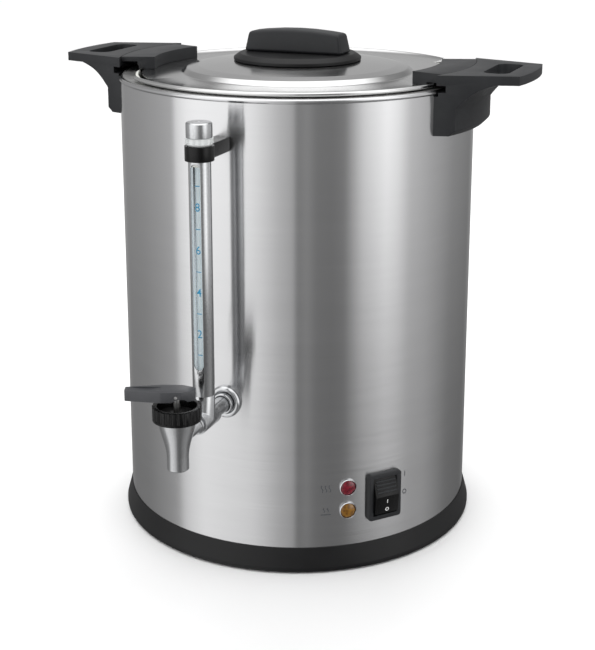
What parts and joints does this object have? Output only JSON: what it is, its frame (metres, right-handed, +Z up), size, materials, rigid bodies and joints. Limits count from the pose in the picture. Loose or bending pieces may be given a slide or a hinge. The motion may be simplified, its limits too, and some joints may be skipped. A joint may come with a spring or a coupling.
{
  "type": "brew kettle",
  "caption": "Double-walled electric brew kettle with a turn-to-lock lid, two side handles, a sight gauge, a lever tap and a rocker switch.",
  "frame": {"origin": "middle of the plane that the foot ring stands on, on the axis of the body", "axes": "+Z up, the tap and the gauge on -Y, the handles on +X and -X"},
  "size_m": [0.41, 0.4073, 0.4243],
  "materials": {
    "brushed_body": "brushed round the body",
    "pot_steel": "satin",
    "lid_steel": "bright satin",
    "bright_chrome": "polished",
    "black_plastic": "fine moulded texture",
    "gloss_black": "gloss",
    "white_plastic": "milky",
    "clear_glass": "clear",
    "red_lens": "clear-tinted",
    "amber_lens": "clear-tinted",
    "feet_rubber": "matte",
    "clear_silicone": "milky silicone",
    "heater_aluminium": "cast",
    "terminal_brass": "plain",
    "zinc_steel": "zinc plated"
  },
  "bodies": {
    "kettle": {"base_plate": "zinc_steel", "base_ring": "black_plastic", "base_screws": "zinc_steel", "boil_element": "pot_steel", "boil_thermostat": "gloss_black", "foot_ring": "feet_rubber", "gauge_cap": "bright_chrome", "gauge_clamp": "black_plastic", "gauge_clamp_screw": "zinc_steel", "gauge_collar": "white_plastic", "gauge_foot": "bright_chrome", "gauge_glass": "clear_glass", "gauge_seals": "clear_silicone", "gauge_shield": "bright_chrome", "handle_screws": "zinc_steel", "heat_lamp_lens": "red_lens", "heater_clamp": "zinc_steel", "heater_nut": "zinc_steel", "heater_plate": "heater_aluminium", "inlet_pins": "terminal_brass", "inlet_screws": "zinc_steel", "inner_pot": "pot_steel", "keep_warm_element": "pot_steel", "keep_warm_thermostat": "gloss_black", "lamp_bezels": "bright_chrome", "lamp_holders": "black_plastic", "left_backing_plate": "zinc_steel", "left_handle": "black_plastic", "outer_shell": "brushed_body", "power_inlet": "black_plastic", "right_backing_plate": "zinc_steel", "right_handle": "black_plastic", "shank_gasket": "clear_silicone", "shank_nut": "pot_steel", "switch_housing": "black_plastic", "switch_terminals": "terminal_brass", "tap_body": "bright_chrome", "tap_bonnet": "black_plastic", "tap_shank": "bright_chrome", "tap_spring": "pot_steel", "terminal_block": "white_plastic", "thermal_fuse": "zinc_steel", "wall_flange": "bright_chrome", "wall_spacer": "pot_steel", "warm_lamp_lens": "amber_lens"},
    "lid_ring": {"lid_seal": "clear_silicone"},
    "lid": {"lid_pan": "lid_steel", "left_lid_lug": "black_plastic", "right_lid_lug": "black_plastic", "lid_lug_screws": "zinc_steel", "knob_base": "black_plastic", "knob_screw": "zinc_steel", "knob_grip": "black_plastic"},
    "tap_cup": {"tap_seat_cup": "clear_silicone"},
    "tap_spindle": {"tap_stem": "pot_steel"},
    "tap_handle": {"tap_lever": "gloss_black", "tap_lever_pin": "pot_steel"},
    "rocker": {"switch_rocker": "gloss_black"}
  },
  "joints": [
    {"name": "lid_lift", "type": "slide", "parent": "kettle", "child": "lid_ring", "axis": [0, 0, 1], "range_m": [0, 0.08]},
    {"name": "lid_turn", "type": "hinge", "parent": "lid_ring", "child": "lid", "pos_m": [0, 0, 0.39], "axis": [0, 0, 1], "range_deg": [-56, 0]},
    {"name": "tap_lift", "type": "slide", "parent": "kettle", "child": "tap_cup", "axis": [0, 0, 1], "range_m": [0, 0.004], "deforming": ["tap_spring"]},
    {"name": "stem_swivel", "type": "hinge", "parent": "tap_cup", "child": "tap_spindle", "pos_m": [0, -0.234, 0.1802], "axis": [0, 0, 1], "range_deg": [-22, 158]},
    {"name": "lever_tilt", "type": "hinge", "parent": "tap_spindle", "child": "tap_handle", "pos_m": [0, -0.234, 0.1802], "axis": [-0.3746, 0.9272, 0], "range_deg": [0, 30], "stiffness_Nm_per_rad": 0.3, "springref_deg": -17.19},
    {"name": "switch_rock", "type": "hinge", "parent": "kettle", "child": "rocker", "pos_m": [0.11261, -0.09449, 0.0605], "axis": [0.6428, 0.766, 0], "range_deg": [0, 16]}
  ],
  "couplings": [
    {"joint": "tap_lift", "follows": "lever_tilt", "m_per_rad": 0.0076393}
  ]
}
